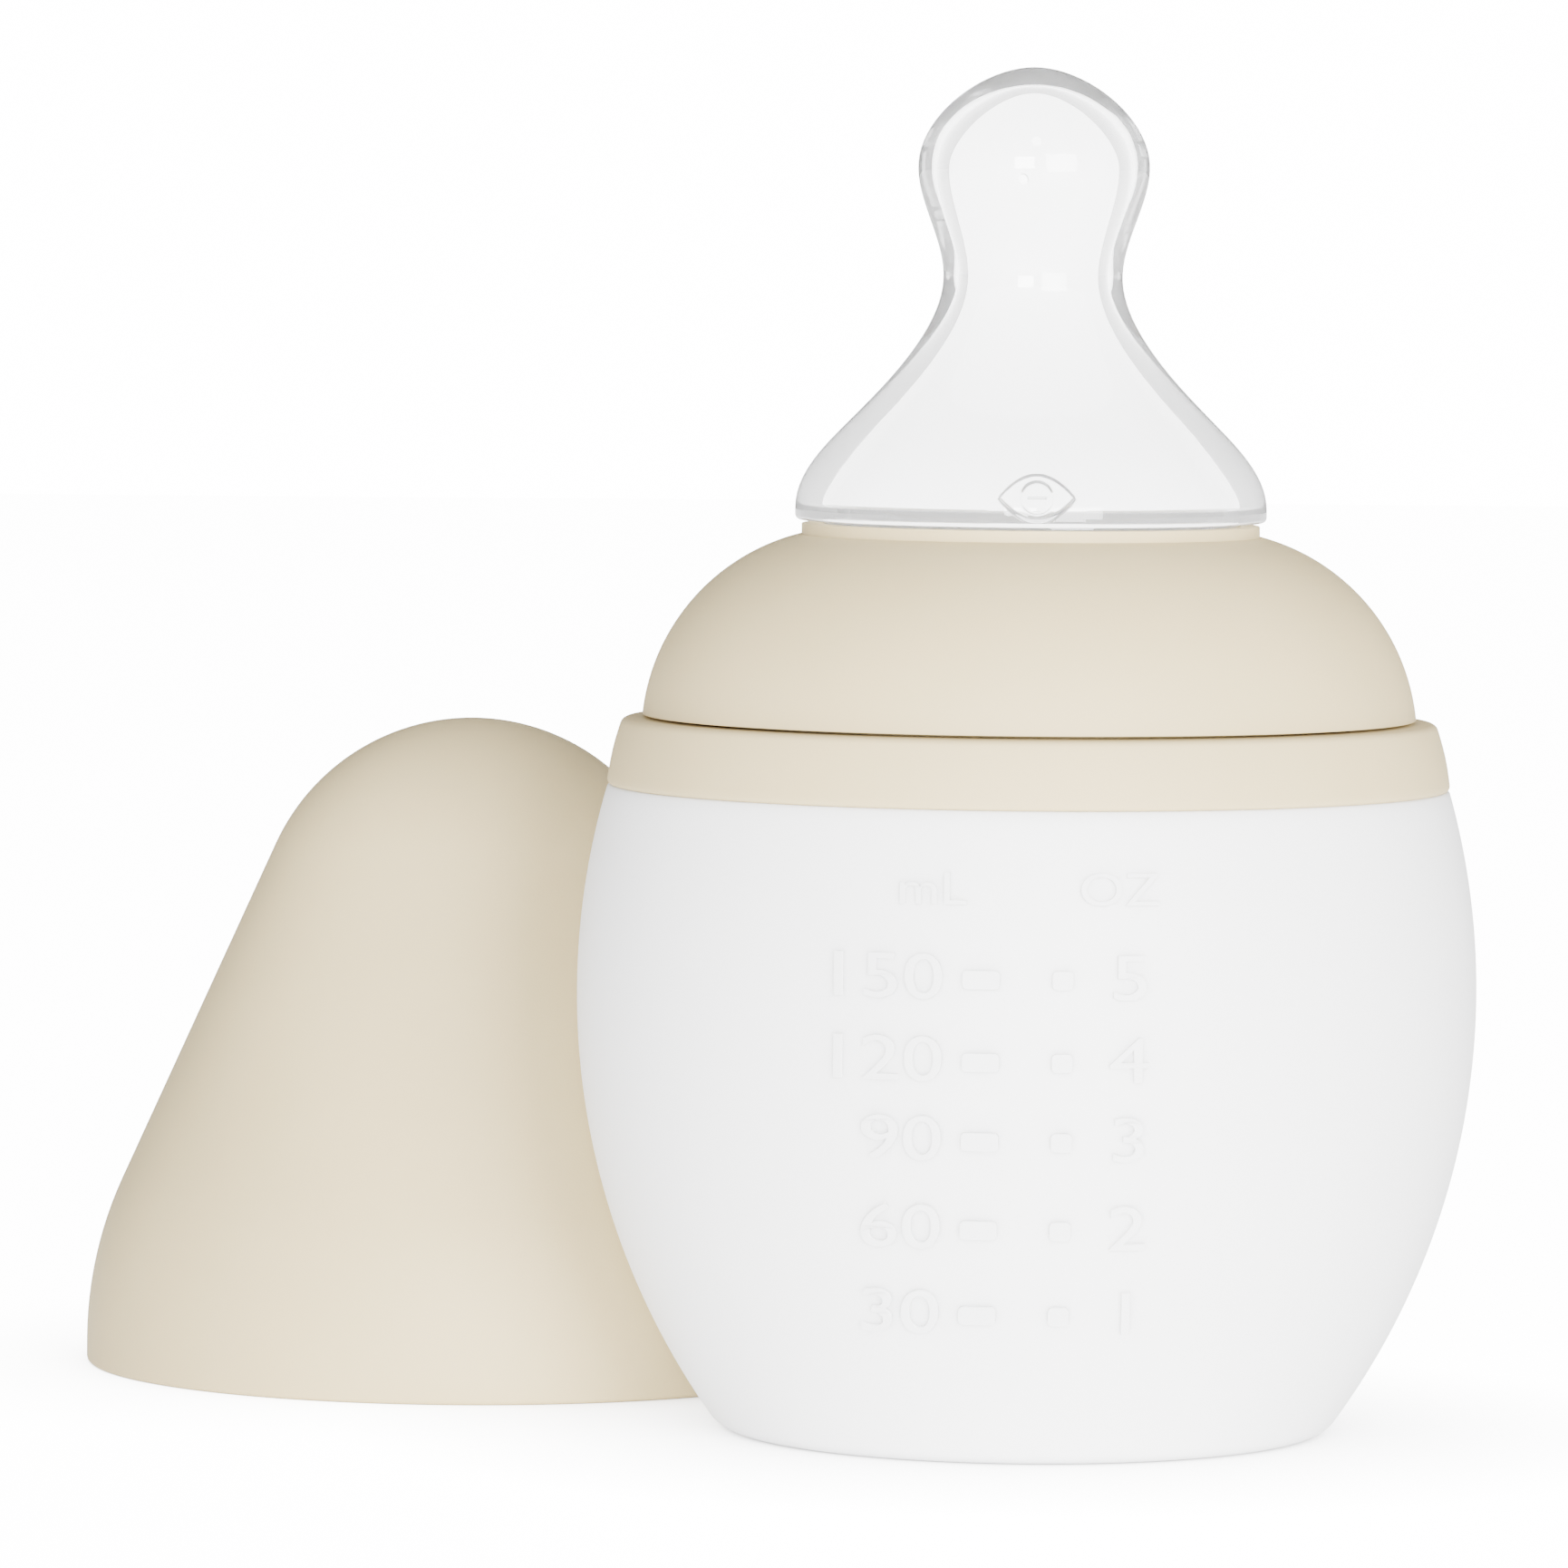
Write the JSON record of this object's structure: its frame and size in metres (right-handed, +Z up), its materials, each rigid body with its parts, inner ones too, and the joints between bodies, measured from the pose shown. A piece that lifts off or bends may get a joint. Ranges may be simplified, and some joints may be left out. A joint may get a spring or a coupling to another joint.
{
  "type": "baby bottle",
  "caption": "Squat round silicone baby bottle with a threaded neck ring, a domed screw collar, a clear flattened teat and a tall rounded cap standing beside it.",
  "frame": {"origin": "centre of the bottle's flat base, on the bottle's axis", "axes": "+Z up along the bottle's axis; -Y is the front, with the teat's vent valve and the graduated side; the cap stands toward -X and +Y"},
  "size_m": [0.1285, 0.1256, 0.1226],
  "materials": {
    "frosted_silicone": "matte",
    "clear_silicone": "glossy",
    "beige_plastic": "matte"
  },
  "bodies": {
    "bottle": {"bottle_body": "frosted_silicone", "neck_ring": "beige_plastic"},
    "teat": {"teat": "clear_silicone"},
    "collar": {"collar": "beige_plastic"},
    "cap": {"cap": "beige_plastic"}
  },
  "joints": [
    {"name": "teat_lift", "type": "slide", "parent": "bottle", "child": "teat", "axis": [0, 0, 1], "range_m": [0, 0.00125]},
    {"name": "collar_turn", "type": "hinge", "parent": "teat", "child": "collar", "pos_m": [0, 0, 0.066], "axis": [0, 0, 1], "range_deg": [0, 180]},
    {"name": "cap_lift", "type": "slide", "parent": "bottle", "child": "cap", "axis": [-0.3082, 0.2892, 0.9063], "range_m": [0, 0.13]}
  ],
  "couplings": [
    {"joint": "teat_lift", "follows": "collar_turn", "m_per_rad": 0.00039789}
  ]
}
